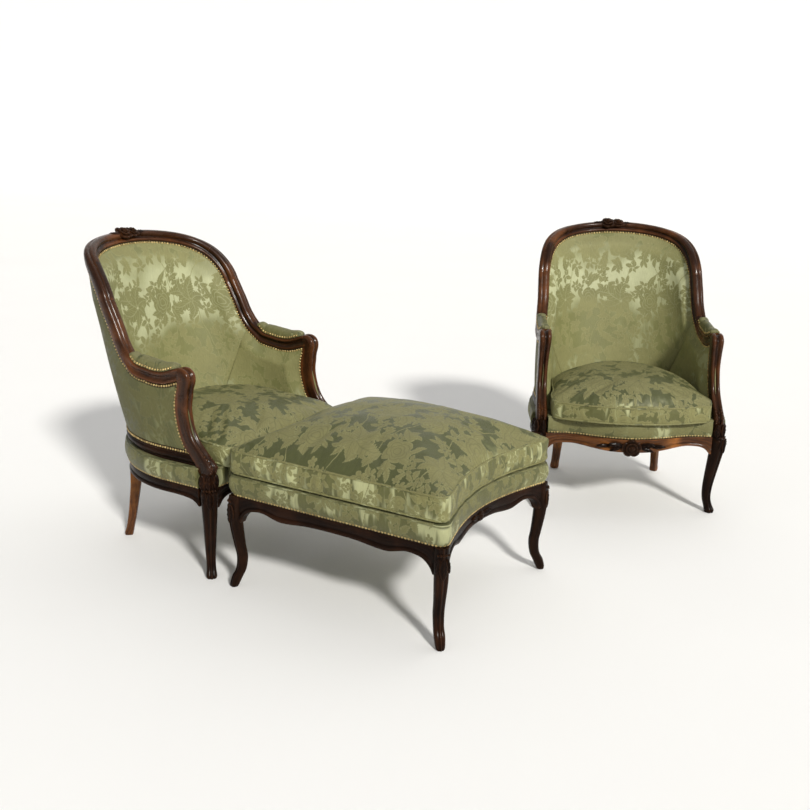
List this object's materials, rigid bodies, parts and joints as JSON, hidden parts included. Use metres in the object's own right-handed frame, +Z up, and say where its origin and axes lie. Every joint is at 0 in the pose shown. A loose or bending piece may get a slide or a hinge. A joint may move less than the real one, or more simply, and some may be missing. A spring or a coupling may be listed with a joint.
{
  "type": "pair of tub armchairs with footstool",
  "caption": "Daybed in parts: facing tub armchairs with moulded, carved frames and a hollow-ended stool between them, all with loose boxed cushions.",
  "frame": {"origin": "on the floor, at the middle of the set's bounding box", "axes": "+Z up; +X the way the first chair faces, along the stool; +Y towards the back of the picture, where the second chair stands"},
  "size_m": [1.7767, 1.9173, 0.9969],
  "materials": {
    "walnut": "dark reddish-brown walnut, waxed to a gloss",
    "silk_upright": "pale green silk damask, satin ground with matt flowers",
    "silk_seat": "grey-green silk damask of the seat cushions"
  },
  "bodies": {
    "chair_a": {"chair_a_arm_left": "walnut", "chair_a_arm_pad_left": "silk_upright", "chair_a_arm_pad_right": "silk_upright", "chair_a_arm_right": "walnut", "chair_a_arm_support_left": "walnut", "chair_a_arm_support_right": "walnut", "chair_a_back_leg_left": "walnut", "chair_a_back_leg_right": "walnut", "chair_a_back_pad": "silk_upright", "chair_a_back_rail": "walnut", "chair_a_crest_rail": "walnut", "chair_a_foot_moulding": "walnut", "chair_a_front_leg_left": "walnut", "chair_a_front_leg_right": "walnut", "chair_a_front_rail": "walnut", "chair_a_outer_cover": "silk_upright", "chair_a_seat_platform": "silk_upright", "chair_a_side_pad_left": "silk_upright", "chair_a_side_pad_right": "silk_upright", "chair_a_side_rail_left": "walnut", "chair_a_side_rail_right": "walnut", "chair_a_stile_left": "walnut", "chair_a_stile_right": "walnut"},
    "chair_a_cushion": {"chair_a_seat_cushion": "silk_seat"},
    "stool": {"stool_end_rail_far": "walnut", "stool_end_rail_near": "walnut", "stool_leg_far_left": "walnut", "stool_leg_far_right": "walnut", "stool_leg_near_left": "walnut", "stool_leg_near_right": "walnut", "stool_long_rail_left": "walnut", "stool_long_rail_right": "walnut", "stool_seat_platform": "silk_upright"},
    "stool_cushion": {"stool_cushion": "silk_seat"},
    "chair_b": {"chair_b_arm_left": "walnut", "chair_b_arm_pad_left": "silk_upright", "chair_b_arm_pad_right": "silk_upright", "chair_b_arm_right": "walnut", "chair_b_arm_support_left": "walnut", "chair_b_arm_support_right": "walnut", "chair_b_back_leg_left": "walnut", "chair_b_back_leg_right": "walnut", "chair_b_back_pad": "silk_upright", "chair_b_back_rail": "walnut", "chair_b_crest_rail": "walnut", "chair_b_foot_moulding": "walnut", "chair_b_front_leg_left": "walnut", "chair_b_front_leg_right": "walnut", "chair_b_front_rail": "walnut", "chair_b_outer_cover": "silk_upright", "chair_b_seat_platform": "silk_upright", "chair_b_side_pad_left": "silk_upright", "chair_b_side_pad_right": "silk_upright", "chair_b_side_rail_left": "walnut", "chair_b_side_rail_right": "walnut", "chair_b_stile_left": "walnut", "chair_b_stile_right": "walnut"},
    "chair_b_cushion": {"chair_b_seat_cushion": "silk_seat"}
  },
  "joints": [
    {"name": "chair_a_cushion_lift", "type": "slide", "parent": "chair_a", "child": "chair_a_cushion", "axis": [0, 0, 1], "range_m": [0, 0.65]},
    {"name": "stool_draw", "type": "slide", "parent": "chair_a", "child": "stool", "axis": [1, 0, 0], "range_m": [0, 0.4]},
    {"name": "stool_cushion_lift", "type": "slide", "parent": "stool", "child": "stool_cushion", "axis": [0, 0, 1], "range_m": [0, 0.3]},
    {"name": "chair_b_draw", "type": "slide", "parent": "chair_a", "child": "chair_b", "axis": [-0.4939, 0.8695, 0], "range_m": [0, 0.4]},
    {"name": "chair_b_cushion_lift", "type": "slide", "parent": "chair_b", "child": "chair_b_cushion", "axis": [0, 0, 1], "range_m": [0, 0.65]}
  ]
}
